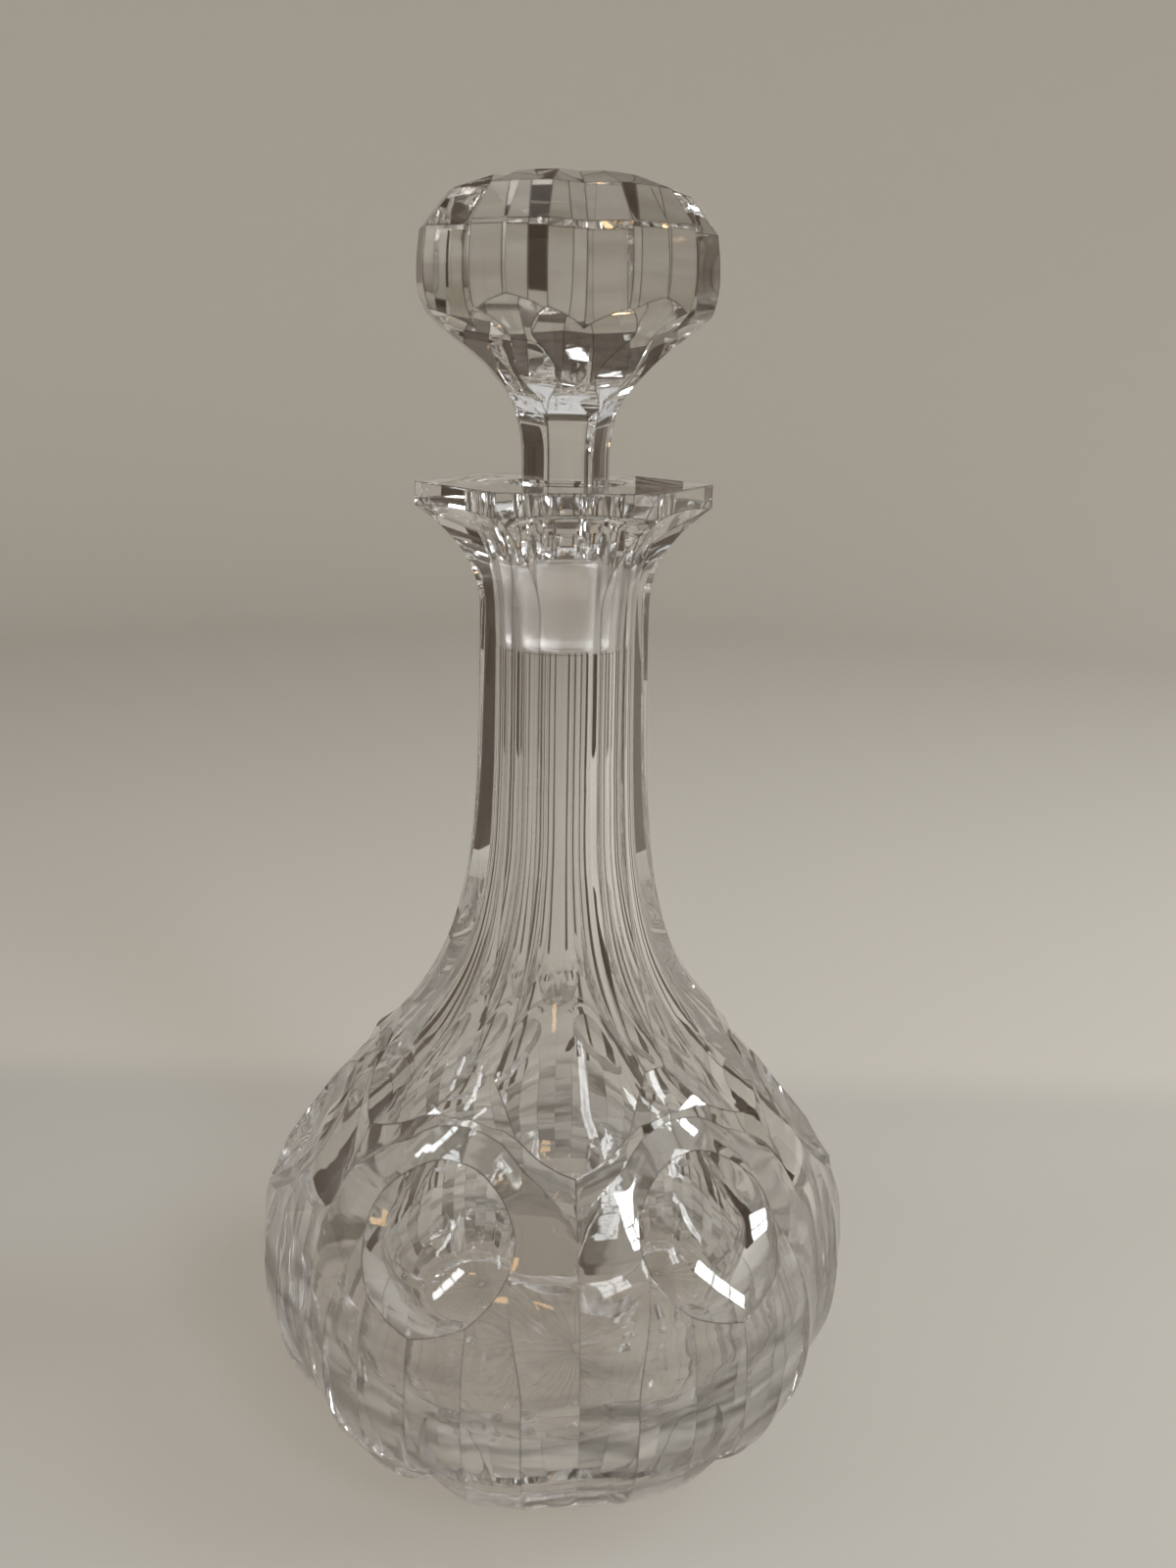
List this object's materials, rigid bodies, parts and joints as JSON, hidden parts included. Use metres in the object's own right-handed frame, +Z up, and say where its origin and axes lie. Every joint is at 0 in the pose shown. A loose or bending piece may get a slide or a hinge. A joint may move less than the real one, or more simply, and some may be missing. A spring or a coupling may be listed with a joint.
{
  "type": "decanter",
  "caption": "Lobed clear cut-glass decanter with round hollows in its shoulders, a slim panelled neck, a flat six-sided lip and a lobed lift-out ground stopper",
  "frame": {"origin": "centre of the flat base, on the surface the decanter stands on", "axes": "+Z up along the axis of the neck, -Y to the front, where there is a groove between two lobes, +X to the right, through the middle of a lobe"},
  "size_m": [0.1454, 0.1404, 0.2893],
  "materials": {
    "bottle_glass": "polished",
    "stopper_glass": "polished"
  },
  "bodies": {
    "bottle": {"decanter_bottle": "bottle_glass"},
    "stopper": {"stopper": "stopper_glass"}
  },
  "joints": [
    {"name": "stopper_lift", "type": "slide", "parent": "bottle", "child": "stopper", "axis": [0, 0, 1], "range_m": [0, 0.04]}
  ]
}
